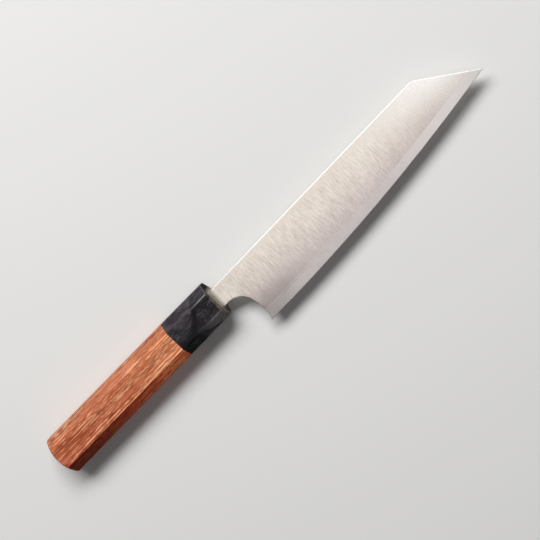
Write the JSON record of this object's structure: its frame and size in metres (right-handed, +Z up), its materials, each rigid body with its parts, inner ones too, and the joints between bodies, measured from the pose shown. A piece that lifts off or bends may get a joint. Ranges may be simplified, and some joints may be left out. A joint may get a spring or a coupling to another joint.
{
  "type": "petty knife",
  "caption": "Petty kitchen knife with an angled tip: laminated satin steel blade on a hidden tang, bedded in an octagonal red-brown wood handle with a dark ferrule.",
  "frame": {"origin": "under the middle of the knife's box, on the surface that it lies on", "axes": "+X along the handle towards the tip, +Y towards the spine, +Z up, out of the blade's right-hand face"},
  "size_m": [0.2702, 0.0358, 0.0166],
  "materials": {
    "core_steel": "hard steel, finely ground across the blade",
    "cladding_steel": "satin steel, brushed from spine to edge",
    "ferrule_horn": "polished charcoal horn with darker veins",
    "handle_wood": "oiled red-brown hardwood with fine straight grain",
    "dowel_wood": "plain pale hardwood",
    "bedding_epoxy": "cured amber-brown epoxy"
  },
  "bodies": {
    "root": {"blade_core": "core_steel", "cladding_right": "cladding_steel", "cladding_left": "cladding_steel", "ferrule": "ferrule_horn", "handle_body": "handle_wood", "tenon_dowel": "dowel_wood", "tang_bedding": "bedding_epoxy"}
  },
  "joints": []
}
